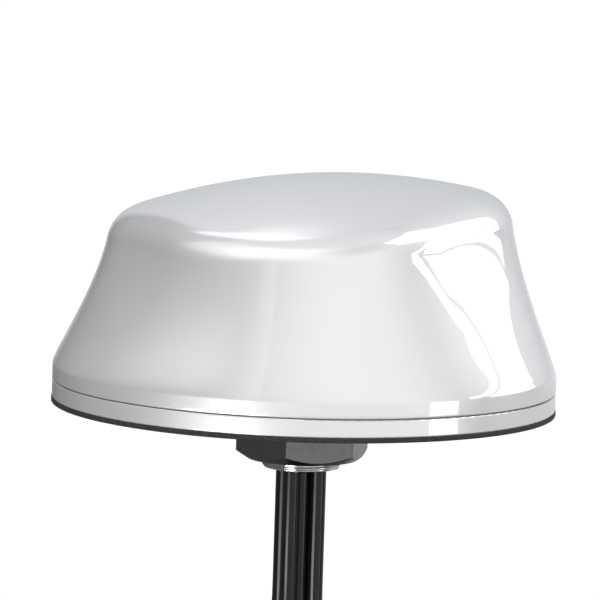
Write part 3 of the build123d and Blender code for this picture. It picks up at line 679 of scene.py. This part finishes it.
def thread_radius(height, angle):
    """A right-hand thread's radius: flats at crest and root, flanks between."""
    turns = (height - STUD_END) / THREAD_PITCH - angle / TAU
    wave = abs((turns % 1.0) * 2 - 1)
    rise = min(1.0, max(0.0, (wave - THREAD_ROOT) / THREAD_FLANK))
    fade = min(1.0, max(0.0, (height - STUD_END) / RUN_OUT))
    depth = RUN_OUT_DEPTH + (1 - RUN_OUT_DEPTH) * fade
    return THREAD_RADIUS - THREAD_DEPTH + THREAD_DEPTH * rise * depth


def stud_form(radius, height, angle):
    """The profile's own radius, or the thread's on the rows that have none."""
    return thread_radius(height, angle) if radius is None else radius, height


def make_stud(materials):
    step = THREAD_PITCH / ROWS_PER_TURN
    rows = int((FLOOR_TOP - PLAIN_LENGTH - STUD_END) / step)
    heights = [STUD_END + step * i for i in range(rows)]
    profile = [(STUD_BORE_RADIUS + 0.3, STUD_END), (THREAD_RADIUS - THREAD_DEPTH, STUD_END)]
    profile += [(None, height) for height in heights[1:]]
    profile += [
        (THREAD_RADIUS, heights[-1] + step),
        (THREAD_RADIUS, FLOOR_TOP),
        (FLANGE_RADIUS - FLANGE_CHAMFER, FLOOR_TOP),
        (FLANGE_RADIUS, FLOOR_TOP + FLANGE_CHAMFER),
        (FLANGE_RADIUS, FLANGE_TOP - FLANGE_CHAMFER),
        (FLANGE_RADIUS - FLANGE_CHAMFER, FLANGE_TOP),
        (STUD_BORE_RADIUS, FLANGE_TOP),
        (STUD_BORE_RADIUS, STUD_END + 0.4),
    ]
    stud = lathe("stud_threaded", profile, STUD_SEGMENTS, stud_form)
    sharpen(stud, 70)
    finish_piece(stud, ROOT, "stud_zinc", materials, "threaded_stud")


NUT_BOTTOM, NUT_HEIGHT, NUT_FLATS = -16.7, 7 / 16 * INCH, 1.5 * INCH
NUT_TOP = NUT_BOTTOM + NUT_HEIGHT
NUT_MIDDLE = (NUT_BOTTOM + NUT_TOP) / 2
NUT_CORNER_AZIMUTH, NUT_CORNER_RADIUS = radians(-102.8), 0.5
NUT_FACE_RADIUS = NUT_FLATS / 2 * 0.92    # the round face inside the chamfer
NUT_CHAMFER_ANGLE = radians(33)
NUT_BORE, NUT_MOUTH, NUT_MOUTH_DEPTH = THREAD_RADIUS + 0.05, THREAD_RADIUS + 0.95, 0.9
NUT_SEGMENTS = 720


def nut_form(kind, level, angle):
    """A side point, a chamfer point, or a plain radius and height.

    A side's level runs from -1 to 1 up the flat, and a chamfer's goes from 0 at the face to 1 at the
    side, negative on the underside.
    """
    outer = rounded_polygon_radius(angle, 6, NUT_FLATS / 2, NUT_CORNER_RADIUS, NUT_CORNER_AZIMUTH)
    drop = (outer - NUT_FACE_RADIUS) * tan(NUT_CHAMFER_ANGLE)
    if kind == "side":
        return outer, NUT_MIDDLE + (NUT_HEIGHT / 2 - drop) * level
    if kind == "chamfer":
        share = abs(level)
        radius = NUT_FACE_RADIUS + (outer - NUT_FACE_RADIUS) * share
        return radius, NUT_BOTTOM + drop * share if level < 0 else NUT_TOP - drop * share
    return kind, level


def make_nut(materials):
    """A hexagon whose corners are turned off by a cone, which leaves arcs on the flats."""
    profile = [(NUT_MOUTH + 0.1, NUT_BOTTOM)]
    profile += [("chamfer", level) for level in (-0.02, -0.5, -0.93)]
    profile += [("side", level) for level in (-0.985, -0.96, -0.5, 0.0, 0.5, 0.96, 0.985)]
    profile += [("chamfer", level) for level in (0.93, 0.5, 0.02)]
    profile += [
        (NUT_MOUTH + 0.1, NUT_TOP),
        (NUT_MOUTH, NUT_TOP - 0.02),
        (NUT_BORE, NUT_TOP - NUT_MOUTH_DEPTH),
        (NUT_BORE, NUT_BOTTOM + NUT_MOUTH_DEPTH),
        (NUT_MOUTH, NUT_BOTTOM + 0.02),
    ]
    nut = lathe("hexagon_nut", profile, NUT_SEGMENTS, nut_form)
    sharpen(nut, 22)
    finish_piece(nut, "nut", "nut_black", materials, "hex_nut")


# ---------------------------------------------------------------- cables

CABLE_DIAMETER = 0.0053
# Each route: the CAD route's points in metres, with one more on the long straight first run
ROUTES = {
    "gnss": [
        (0, 0, 0.005), (0, 0, -0.046), (0, 0, -0.068), (0.0016, -0.0012, -0.122),
        (0.0010, -0.0036, -0.178), (-0.0016, -0.0036, -0.234), (-0.0026, -0.0020, -0.284),
    ],
    "cellular_1": [
        (0.005387, -0.000377, 0.005), (0.005387, -0.000377, -0.046), (0.005387, -0.000377, -0.068),
        (0.0078, -0.0015, -0.120), (0.0130, -0.0022, -0.174), (0.0182, -0.0012, -0.228),
        (0.0208, 0.0008, -0.279),
    ],
    "cellular_2": [
        (-0.005387, 0.000377, 0.005), (-0.005387, 0.000377, -0.046), (-0.005387, 0.000377, -0.068),
        (-0.0084, 0.0006, -0.119), (-0.0144, 0.0026, -0.175), (-0.0186, 0.0060, -0.231),
        (-0.0200, 0.0098, -0.281),
    ],
    "wifi_1": [
        (-0.003020, -0.004477, 0.005), (-0.003020, -0.004477, -0.046), (-0.003020, -0.004477, -0.068),
        (-0.0046, -0.0079, -0.121), (-0.0052, -0.0138, -0.176), (-0.0076, -0.0188, -0.230),
        (-0.0114, -0.0212, -0.277),
    ],
    "wifi_2": [
        (0.003020, 0.004477, 0.005), (0.003020, 0.004477, -0.046), (0.003020, 0.004477, -0.068),
        (0.0034, 0.0079, -0.118), (0.0060, 0.0132, -0.173), (0.0102, 0.0168, -0.227),
        (0.0144, 0.0182, -0.280),
    ],
}


def make_cable(name, materials):
    """One cable, hung by its route, in place of the CAD cable."""
    points = ROUTES[name]
    curve = bpy.data.curves.new(f"coax_{name}", "CURVE")
    curve.dimensions = "3D"
    curve.bevel_depth = CABLE_DIAMETER / 2
    curve.bevel_resolution, curve.resolution_u = 10, 24
    curve.use_fill_caps = True
    spline = curve.splines.new("NURBS")
    spline.points.add(len(points) - 1)
    for control, place in zip(spline.points, points):
        control.co = (*place, 1)
    spline.order_u = 3
    spline.use_endpoint_u = True
    cable = bpy.data.objects.new(f"coax_{name}", curve)
    bpy.context.scene.collection.objects.link(cable)
    finish_piece(cable, ROOT, "cable_jacket", materials, f"cable_{name}")


# ---------------------------------------------------------------- the scene

add_camera()
add_floor()
add_lights()
bpy.context.scene.view_settings.view_transform = "Standard"
materials = make_materials()
dress_nodes(materials)
for cable_name in ROUTES:
    make_cable(cable_name, materials)
make_radome(materials)
make_gasket(materials)
make_stud(materials)
make_nut(materials)
